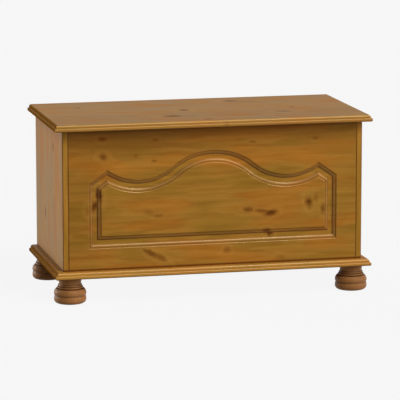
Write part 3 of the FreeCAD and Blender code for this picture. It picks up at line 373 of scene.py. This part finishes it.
def pine_colour(tree, late, streak, band):
    """The stained wood's own colours: rings, orange and olive bands, brown and pale streaks."""
    colour = add(tree, "Mix", {0: late, 6: linear(PINE_EARLY), 7: linear(PINE_LATE)},
                 data_type="RGBA")[2]
    tints = (
        (band, ORANGE_BANDS, PINE_ORANGE),
        (band, OLIVE_BANDS, PINE_OLIVE),
        (streak, BROWN_STREAKS, PINE_BROWN),
        (streak, PALE_STREAKS, PINE_PALE),
    )
    for pattern, stops, tint in tints:
        shown = add(tree, "ValToRGB", {0: pattern}, stops=stops)[0]
        colour = add(tree, "Mix", {0: shown, 6: colour, 7: linear(tint)}, data_type="RGBA")[2]
    return colour


def pine_tone(tree, fibre, band, luck, take_up_and_shade):
    """How pale the wood comes out: take_up_and_shade on the whole, the stain's take-up and on the
    lid also painted shade, and more or less of it by fibres, by bands and from stave to stave."""
    stave = add(tree, "SeparateXYZ", {0: luck})[2]
    shares = ((fibre, 0.25), (band, 0.55), (stave, 0.12))
    tone = take_up_and_shade - sum(share for _, share in shares) / 2
    for pattern, share in shares:
        tone = add(tree, "Math", {0: pattern, 1: share, 2: tone}, operation="MULTIPLY_ADD")[0]
    return tone


def wax_sheen(tree, fibre, streak, band, cut, smudge):
    """The wax's roughness and shine: smoother and shinier where it lies thick in a moulding,
    dull on cut ends and knots."""
    thick = add(tree, "Math", {0: slanted(tree), 1: cut}, operation="SUBTRACT",
                use_clamp=True)[0]
    dull = add(tree, "Math", {0: cut, 1: smudge}, operation="MAXIMUM")[0]
    rough = BOARD_ROUGHNESS
    shares = ((fibre, FIBRE_ROUGHNESS), (streak, 0.25), (band, 0.3), (thick, -0.23))
    for pattern, share in shares:
        rough = add(tree, "Math", {0: pattern, 1: share, 2: rough}, operation="MULTIPLY_ADD")[0]
    shine = BOARD_SHINE
    for pattern, share in ((thick, 0.45), (dull, -0.15)):
        shine = add(tree, "Math", {0: pattern, 1: share, 2: shine}, operation="MULTIPLY_ADD")[0]
    return rough, shine


def waxed_pine(name, grain, knots, seed, stain_and_shade=None, take_up_and_shade=1.0, patches=(),
               least=END_GRAIN, wear_and_highlight=0.0):
    """Edge-glued pine, planed, stained honey brown and waxed. The eye gets long soft streaks,
    low arches of rings, smudgy knots and a satin sheen that shows at a low angle. The wax is
    rubbed thin on the flat faces and is left thicker and shinier in the mouldings.
    grain names the part's axes along the grain, across it and through the board. stain_and_shade,
    if given, says where stain has gathered and where shade is painted, and take_up_and_shade how
    pale the
    board comes out: how it took the stain, and on the lid also painted shade. patches are darker
    areas:
    on the front, the lid's shadow painted deeper at its upper left, and the front darker towards
    its left end. least is how far a face must turn to the grain's end to soak up stain, and
    wear_and_highlight how pale the handled edges are rubbed, which also paints a highlight on
    them."""
    material = empty_material(name)
    tree = material.node_tree
    board = board_place(tree, grain)
    luck, in_stave = stave_luck(tree, board, seed)
    from_heart = heart_distance(tree, board, luck, in_stave)
    push, dark = knot_marks(tree, board, knots)
    fibre = along_grain(tree, board, FIBRE)
    streak = along_grain(tree, board, STREAK, seed)
    band = along_grain(tree, board, BAND, seed + BAND_SEED, detail=1.0)
    late = pine_rings(tree, from_heart, push, streak)
    colour = pine_colour(tree, late, streak, band)
    tone = pine_tone(tree, fibre, band, luck, take_up_and_shade)
    colour = add(tree, "Mix", {0: 1.0, 6: colour, 7: tone},
                 data_type="RGBA", blend_type="MULTIPLY")[2]

    # the layers over the plain wood: where each shows, and its colour
    layers = []
    # painted shade: darker patches on the front, where the lid's shadow is painted deeper
    if patches:
        layers.append((knot_marks(tree, board, patches)[1], PINE_STAIN_AND_SHADE))
    halo = add(tree, "MapRange", {
        "Value": push, "From Min": KNOT_HALO[0], "From Max": KNOT_HALO[1],
        "To Min": 0.0, "To Max": KNOT_HALO_SHARE})[0]
    layers.append((halo, PINE_PALE))

    # a knot is streaked like the wood round it
    smudge = add(tree, "Math", {0: streak, 1: KNOT_STREAKED[0], 2: KNOT_STREAKED[1]},
                 operation="MULTIPLY_ADD")[0]
    smudge = add(tree, "Math", {0: dark, 1: smudge}, operation="MULTIPLY")[0]
    layers.append((add(tree, "ValToRGB", {0: smudge}, stops=KNOT_BROWN)[0], PINE_KNOT))
    layers.append((add(tree, "ValToRGB", {0: smudge}, stops=KNOT_EYE)[0], PINE_KNOT_EYE))
    if wear_and_highlight:
        # pale on the handled edges: wear, and a painted highlight on the mouldings
        worn_and_lit = add(tree, "Math", {0: rubbed_and_lit_edge(tree, grain), 1: wear_and_highlight}, operation="MULTIPLY")[0]
        layers.append((worn_and_lit, PINE_PALE))
    # stain, and painted shade, in mouldings, joints and under the lid
    if stain_and_shade:
        layers.append((stain_and_shade(tree), PINE_STAIN_AND_SHADE))
    cut = end_grain(tree, grain, least)
    soaked = add(tree, "Math", {0: cut, 1: END_GRAIN_STAIN}, operation="MULTIPLY")[0]
    layers.append((soaked, PINE_STAIN_AND_SHADE))
    for shown, tint in layers:
        colour = add(tree, "Mix", {0: shown, 6: colour, 7: linear(tint)}, data_type="RGBA")[2]

    rough, shine = wax_sheen(tree, fibre, streak, band, cut, smudge)
    relief = add(tree, "Math", {0: late, 1: LATE_WOOD_HEIGHT, 2: fibre},
                 operation="MULTIPLY_ADD")[0]
    bump = add(tree, "Bump", {"Height": relief, "Distance": WOOD_RELIEF})[0]
    surface = add(tree, "BsdfPrincipled", {
        "Base Color": colour, "Roughness": rough, "Normal": bump, "IOR": WAX_IOR,
        "Specular IOR Level": shine, "Specular Tint": linear(WAX_SHEEN)})[0]
    add(tree, "OutputMaterial", {0: surface})
    return material


# ---------------------------------------------------------------- where stain gathers and where shade is painted
# Each of these gives a grey level from the part's own coordinates.
def ends_of_board(tree, under_lid):
    """Painted contact shadow, a dark line where an upright board stands on the base board, and the
    lid's
    painted shadow, darkest close under it: how far down, and how much at most. The sides stand as
    high as the front."""
    reach, most = under_lid
    here = add(tree, "TexCoord")["Object"]
    z = add(tree, "SeparateXYZ", {0: here})[2]
    low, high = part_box("front_panel")
    # painted contact shadow along the board's foot
    foot = add(tree, "MapRange", {
        "Value": z, "From Min": low[2] + FOOT_LINE[0], "From Max": low[2] + FOOT_LINE[1],
        "To Min": FOOT_LINE_SHADE, "To Max": 0.0})[0]
    # painted shadow of the lid, darkest at the top of the board
    top = add(tree, "MapRange", {
        "Value": z, "From Min": high[2] - reach, "From Max": high[2],
        "To Min": 0.0, "To Max": most}, interpolation_type="SMOOTHSTEP")[0]
    return add(tree, "Math", {0: foot, 1: top}, operation="MAXIMUM")[0]


def groove_stain_and_shade(tree):
    """Dark flanks in the front's routed groove, told by depth below the face: stain gathered
    there, and painted shade, less where the flanks face up or right, towards the light. Painted
    shade in the joints where the board's ends meet the sides, and at its foot and under the lid."""
    here = add(tree, "TexCoord")["Object"]
    x, y = add(tree, "SeparateXYZ", {0: here})[:2]
    low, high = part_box("front_panel")
    depth = add(tree, "MapRange", {
        "Value": y, "From Min": low[1], "From Max": low[1] + GROOVE_SCALE})[0]
    lines = add(tree, "ValToRGB", {0: depth}, stops=GROOVE_LINES)[0]
    turned = add(tree, "VectorMath", {0: add(tree, "TexCoord")["Normal"], 1: LIT_FLANK_SIDE},
                 operation="DOT_PRODUCT")["Value"]
    # painted shade: flanks that face up and right, towards the light, keep less of the dark
    lit_flank = add(tree, "MapRange", {
        "Value": turned, "From Min": LIT_FLANK_FACING[0], "From Max": LIT_FLANK_FACING[1],
        "To Min": 1.0, "To Max": LIT_FLANK_SHARE})[0]
    lines = add(tree, "Math", {0: lines, 1: lit_flank}, operation="MULTIPLY")[0]
    # painted shade in the joints where the front's ends meet the side panels
    from_middle = add(tree, "Math", {0: x}, operation="ABSOLUTE")[0]
    corners = add(tree, "MapRange", {
        "Value": from_middle, "From Min": high[0] - CORNER_LINE, "From Max": high[0],
        "To Max": CORNER_LINE_SHADE})[0]
    lines = add(tree, "Math", {0: lines, 1: corners}, operation="MAXIMUM")[0]
    return add(tree, "Math", {0: lines, 1: ends_of_board(tree, UNDER_LID_FRONT)},
               operation="MAXIMUM")[0]


def side_lines_and_shade(tree):
    """Darker lines along a side panel's arrises, and painted shade at its ends: at its foot and
    under the lid.
    """
    arris = add(tree, "Math", {0: slanted(tree), 1: ARRIS_DARKENING}, operation="MULTIPLY")[0]
    return add(tree, "Math", {0: arris, 1: ends_of_board(tree, UNDER_LID_SIDE)},
               operation="MAXIMUM")[0]


def edge_shade(node, most):
    """Painted shade in the lower curve of a moulded board's edge, which faces down, up to this
    share of its thickness. Gives a function for waxed_pine to call."""
    low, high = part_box(node)
    stops = [
        (0.0, EDGE_LINE_SHADE[0]), (most, EDGE_LINE_SHADE[1]), (most + EDGE_LINE_FADE, 0.0),
    ]

    def stain_and_shade(tree):
        here = add(tree, "TexCoord")["Object"]
        z = add(tree, "SeparateXYZ", {0: here})[2]
        height = add(tree, "MapRange", {"Value": z, "From Min": low[2], "From Max": high[2]})[0]
        line = add(tree, "ValToRGB", {0: height}, stops=stops)[0]
        return add(tree, "Math", {0: line, 1: slanted(tree)}, operation="MULTIPLY")[0]
    return stain_and_shade


# ---------------------------------------------------------------- turned feet
def turned_pine(node, seed):
    """Pine turned on the lathe, sanded, stained dark and waxed. The eye gets fine rings seen
    from the side, a blotchy take-up of stain, and dark lines where the gouge cut in."""
    material = empty_material("turned_pine_" + node)
    tree = material.node_tree
    low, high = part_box(node)
    heart = [(a + b) / 2 + start + seed * step for a, b, start, step
             in zip(low, high, TURNED_HEART, TURNED_HEART_STEP)]
    here = add(tree, "TexCoord")["Object"]
    board = add(tree, "VectorMath", {0: here, 1: (*heart, 0)}, operation="SUBTRACT")[0]
    stray = add(tree, "TexNoise", {
        "Vector": here, "Scale": 1 / TURNED_STRAY_LENGTH, "Detail": 2.0})["Color"]
    warped = add(tree, "VectorMath", {0: stray, 1: (TURNED_STRAY, TURNED_STRAY, 0), 2: board},
                 operation="MULTIPLY_ADD")[0]
    flat = add(tree, "VectorMath", {0: warped, 1: (1, 1, TURNED_RISE)}, operation="MULTIPLY")[0]
    from_heart = add(tree, "VectorMath", {0: flat}, operation="LENGTH")["Value"]
    rings = add(tree, "Math", {0: from_heart, 1: 1 / TURNED_RING_SPACING}, operation="MULTIPLY")[0]
    ring = add(tree, "Math", {0: rings}, operation="FRACT")[0]
    late = add(tree, "ValToRGB", {0: ring}, stops=TURNED_RINGS)[0]
    late = add(tree, "Math", {0: late, 1: TURNED_RING_CONTRAST}, operation="MULTIPLY")[0]
    colour = add(tree, "Mix", {0: late, 6: linear(TURNED_EARLY), 7: linear(TURNED_LATE)},
                 data_type="RGBA")[2]

    blotch = add(tree, "TexNoise", {
        "Vector": here, "Scale": 1 / TURNED_BLOTCH, "Detail": 3.0})[0]
    tone = add(tree, "Math", {0: blotch, 1: TURNED_TONE[0], 2: TURNED_TONE[1]},
               operation="MULTIPLY_ADD")[0]
    colour = add(tree, "Mix", {0: 1.0, 6: colour, 7: tone},
                 data_type="RGBA", blend_type="MULTIPLY")[2]
    z = add(tree, "SeparateXYZ", {0: here})[2]
    height = add(tree, "MapRange", {"Value": z, "From Min": low[2], "From Max": high[2]})[0]
    cut_in = add(tree, "ValToRGB", {0: height}, stops=GOUGE_LINES)[0]
    colour = add(tree, "Mix", {0: cut_in, 6: colour, 7: linear(TURNED_STAIN)},
                 data_type="RGBA")[2]

    fibre = along_grain(tree, board_place(tree, "ZXY"), FIBRE)
    rough = add(tree, "Math", {0: fibre, 1: FIBRE_ROUGHNESS, 2: TURNED_ROUGHNESS},
                operation="MULTIPLY_ADD")[0]
    relief = add(tree, "Math", {0: late, 1: LATE_WOOD_HEIGHT, 2: fibre},
                 operation="MULTIPLY_ADD")[0]
    bump = add(tree, "Bump", {"Height": relief, "Distance": WOOD_RELIEF})[0]
    surface = add(tree, "BsdfPrincipled", {
        "Base Color": colour, "Roughness": rough, "Normal": bump, "IOR": WAX_IOR,
        "Specular IOR Level": TURNED_SHINE, "Specular Tint": linear(WAX_SHEEN)})[0]
    add(tree, "OutputMaterial", {0: surface})
    return material


# ---------------------------------------------------------------- other materials
def cut_beech():
    """Beech dowel rod, dry and pale, with the short dark flecks of its rays."""
    material = empty_material("cut_beech")
    tree = material.node_tree
    here = add(tree, "TexCoord")["Object"]
    fleck = along_grain(tree, here, BEECH_RAY)
    shown = add(tree, "ValToRGB", {0: fleck}, stops=BEECH_FLECKS)[0]
    colour = add(tree, "Mix", {0: shown, 6: linear(BEECH_PALE), 7: linear(BEECH_FLECK)},
                 data_type="RGBA")[2]
    bump = add(tree, "Bump", {"Height": fleck, "Distance": BEECH_RELIEF})[0]
    surface = add(tree, "BsdfPrincipled", {
        "Base Color": colour, "Roughness": BEECH_ROUGHNESS, "Normal": bump,
        "IOR": DRY_WOOD_IOR})[0]
    add(tree, "OutputMaterial", {0: surface})
    return material


def pressed_hardboard():
    """Hardboard, pressed from steamed fibres. The eye gets a felted, cloudy brown face."""
    material = empty_material("pressed_hardboard")
    tree = material.node_tree
    here = add(tree, "TexCoord")["Object"]
    felt = add(tree, "TexNoise", {"Vector": here, "Scale": 1 / HARDBOARD_FELT, "Detail": 3.0})[0]
    cloud = add(tree, "TexNoise", {
        "Vector": here, "Scale": 1 / HARDBOARD_CLOUD, "Detail": 4.0})[0]
    mottle = add(tree, "Math", {0: felt, 1: FELT_SHARE, 2: cloud}, operation="MULTIPLY_ADD")[0]
    mottle = add(tree, "ValToRGB", {0: mottle}, stops=HARDBOARD_MOTTLE)[0]
    colour = add(tree, "Mix", {0: mottle, 6: linear(HARDBOARD_PALE), 7: linear(HARDBOARD_DARK)},
                 data_type="RGBA")[2]
    bump = add(tree, "Bump", {"Height": felt, "Distance": HARDBOARD_RELIEF})[0]
    surface = add(tree, "BsdfPrincipled", {
        "Base Color": colour, "Roughness": HARDBOARD_ROUGHNESS, "Normal": bump,
        "IOR": DRY_WOOD_IOR})[0]
    add(tree, "OutputMaterial", {0: surface})
    return material


def plated_steel(name, bright, dull, roughness):
    """Pressed steel with a thin bright plating. The eye gets faint rolling lines and duller
    patches where fingers have been."""
    material = empty_material(name)
    tree = material.node_tree
    here = add(tree, "TexCoord")["Object"]
    lines = along_grain(tree, here, ROLLING_LINE)
    patch = add(tree, "TexNoise", {"Vector": here, "Scale": 1 / TARNISH_PATCH, "Detail": 3.0})[0]
    shown = add(tree, "ValToRGB", {0: patch}, stops=TARNISH)[0]
    colour = add(tree, "Mix", {0: shown, 6: linear(bright), 7: linear(dull)},
                 data_type="RGBA")[2]
    rough = add(tree, "Math", {0: patch, 1: TARNISH_ROUGHNESS, 2: roughness},
                operation="MULTIPLY_ADD")[0]
    bump = add(tree, "Bump", {"Height": lines, "Distance": ROLLING_RELIEF})[0]
    surface = add(tree, "BsdfPrincipled", {
        "Base Color": colour, "Roughness": rough, "Normal": bump, "Metallic": 1.0})[0]
    add(tree, "OutputMaterial", {0: surface})
    return material


# ---------------------------------------------------------------- what each piece is made of
def dress(names, material):
    """Puts a material on every slot of the named nodes."""
    for name in names:
        piece = frame["nodes"][name]
        if not piece.material_slots:
            piece.data.materials.append(material)
        for slot in piece.material_slots:
            slot.material = material


def dress_boards():
    """The pine boards, each sawn from its own wood, which its seed picks."""
    dress(["front_panel"], waxed_pine(
        "waxed_pine_front", "XZY", FRONT_KNOTS, seed=1.0, stain_and_shade=groove_stain_and_shade, take_up_and_shade=0.97,
        patches=FRONT_DARK_PATCHES, least=FRONT_END_GRAIN))
    dress(["side_panel_left"], waxed_pine(
        "waxed_pine_left_side", "ZYX", SIDE_KNOTS, seed=2.0, stain_and_shade=side_lines_and_shade))
    dress(["side_panel_right"], waxed_pine(
        "waxed_pine_right_side", "ZYX", SIDE_KNOTS, seed=3.0, stain_and_shade=side_lines_and_shade))
    # the lid's lower take_up_and_shade is painted shade: its top is made darker than the front, as
    # if lit less
    dress(["lid_board"], waxed_pine(
        "waxed_pine_lid", "XYZ", LID_KNOTS, seed=4.0,
        stain_and_shade=edge_shade("lid_board", LID_EDGE_LINE), take_up_and_shade=0.85, wear_and_highlight=EDGE_WEAR_AND_HIGHLIGHT))
    dress(["base_board"], waxed_pine(
        "waxed_pine_base", "XYZ", BASE_KNOTS, seed=5.0,
        stain_and_shade=edge_shade("base_board", BASE_EDGE_LINE), wear_and_highlight=EDGE_WEAR_AND_HIGHLIGHT))
    dress(["back_top_rail", "back_bottom_rail"], waxed_pine(
        "waxed_pine_rails", "XZY", CLEAR_WOOD, seed=6.0))
    dress(["lid_batten_left", "lid_batten_right"], waxed_pine(
        "waxed_pine_battens", "YXZ", CLEAR_WOOD, seed=7.0))


def dress_feet():
    """The turned feet, each from another place in the tree."""
    feet = ("foot_front_left", "foot_front_right", "foot_back_left", "foot_back_right")
    for number, foot in enumerate(feet):
        dress([foot], turned_pine(foot, number))


def dress_the_rest():
    """The back panel, the dowels and the metal parts, told by their slots."""
    finishes = {
        "hardboard": pressed_hardboard(),
        "beech": cut_beech(),
        "brassed_steel": plated_steel(
            "brassed_steel", BRASS_BRIGHT, BRASS_TARNISH, BRASS_ROUGHNESS),
        "zinc_plated": plated_steel(
            "zinc_plated_steel", ZINC_BRIGHT, ZINC_DULL, ZINC_ROUGHNESS),
    }
    for part in frame["record"]["subparts"]:
        if part["material_slot"] in finishes:
            dress([part["node"]], finishes[part["material_slot"]])


dress_boards()
dress_feet()
dress_the_rest()

# ---------------------------------------------------------------- stage
FLOOR_SIZE = 60.0              # metres
FLOOR_DROP = 0.5 * MM          # the floor lies this far below the feet
FLOOR_GLOW = 0.975             # how white the floor shows
FLOOR_GLOW_SHARE = 0.92        # the rest of the floor is paint, which takes the shadow
WORLD_STRENGTH = 0.1

# A lamp: name, degrees right of the front, degrees above the floor, strength, and how wide
# it looks in degrees.
LAMPS = [
    ("broad_lamp", 25, 32, 1.5, 75),
    ("high_lamp", 30, 50, 1.2, 15),
    ("low_lamp", 62, 14, 1.3, 30),
    ("left_lamp", -130, 4, 3.1, 40),
]


def seen_straight(tree):
    """1 for rays from the camera, and for those that a mirror or glass passes on."""
    path = add(tree, "LightPath")
    seen = add(tree, "Math", {0: path["Is Camera Ray"], 1: path["Is Glossy Ray"]},
               operation="MAXIMUM")[0]
    return add(tree, "Math", {0: seen, 1: path["Is Transmission Ray"]}, operation="MAXIMUM")[0]


def studio_floor():
    """A pale painted floor. It shows nearly white and keeps a soft shadow of the chest."""
    material = empty_material("painted_floor")
    tree = material.node_tree
    paint = add(tree, "BsdfDiffuse", {"Color": linear(FLOOR_PAINT)})[0]
    glow = add(tree, "Emission", {"Color": linear(PLAIN_WHITE), "Strength": FLOOR_GLOW})[0]
    share = add(tree, "Math", {0: seen_straight(tree), 1: FLOOR_GLOW_SHARE},
                operation="MULTIPLY")[0]
    mixed = add(tree, "MixShader", {0: share, 1: paint, 2: glow})[0]
    add(tree, "OutputMaterial", {0: mixed})
    bpy.ops.mesh.primitive_plane_add(size=FLOOR_SIZE, location=(0, 0, -FLOOR_DROP))
    floor = bpy.context.object
    floor.name = "floor"
    floor.data.materials.append(material)


def studio_world():
    """Even light from all round, and a plain pale backdrop."""
    world = bpy.data.worlds.new("studio")
    bpy.context.scene.world = world
    world.use_nodes = True
    tree = world.node_tree
    tree.nodes.clear()
    backdrop = add(tree, "Background", {"Color": linear(BACKDROP_PALE), "Strength": 1.0})[0]
    light = add(tree, "Background", {
        "Color": linear(PLAIN_WHITE), "Strength": WORLD_STRENGTH})[0]
    mixed = add(tree, "MixShader", {0: seen_straight(tree), 1: light, 2: backdrop})[0]
    add(tree, "OutputWorld", {0: mixed})


def studio_lamps():
    """Lamps so far off that their light comes from the same side everywhere."""
    for name, heading, height, strength, width in LAMPS:
        data = bpy.data.lights.new(name, "SUN")
        data.energy = strength
        data.angle = math.radians(width)
        standing = bpy.data.objects.new(name, data)
        bpy.context.collection.objects.link(standing)
        standing.rotation_euler = (math.radians(90 - height), 0, math.radians(heading))


studio_floor()
studio_world()
studio_lamps()

# ---------------------------------------------------------------- camera
AZIMUTH = math.radians(-13.308)
ELEVATION = math.radians(10.001)
ROLL = math.radians(-0.048)
DISTANCE = 7.2183
AIM = (0.00582, -0.00338, 0.22199)
FOCAL_PIXELS = 2753.0
IMAGE_PIXELS = 400.0
SENSOR_WIDTH = 36.0            # millimetres
FARTHEST_SEEN = 100.0          # metres


def place_camera():
    """A still camera that looks at the middle of the shut chest from its left front."""
    data = bpy.data.cameras.new("camera")
    data.sensor_width = SENSOR_WIDTH
    data.lens = FOCAL_PIXELS / IMAGE_PIXELS * SENSOR_WIDTH
    data.clip_end = FARTHEST_SEEN
    camera = bpy.data.objects.new("camera", data)
    bpy.context.collection.objects.link(camera)
    away = (math.sin(AZIMUTH) * math.cos(ELEVATION),
            -math.cos(AZIMUTH) * math.cos(ELEVATION),
            math.sin(ELEVATION))
    camera.location = [aim + DISTANCE * step for aim, step in zip(AIM, away)]
    camera.rotation_euler = (math.pi / 2 - ELEVATION, 0, AZIMUTH)
    camera.rotation_euler.rotate_axis("Z", ROLL)
    bpy.context.scene.camera = camera


place_camera()
bpy.context.scene.view_settings.view_transform = "Standard"
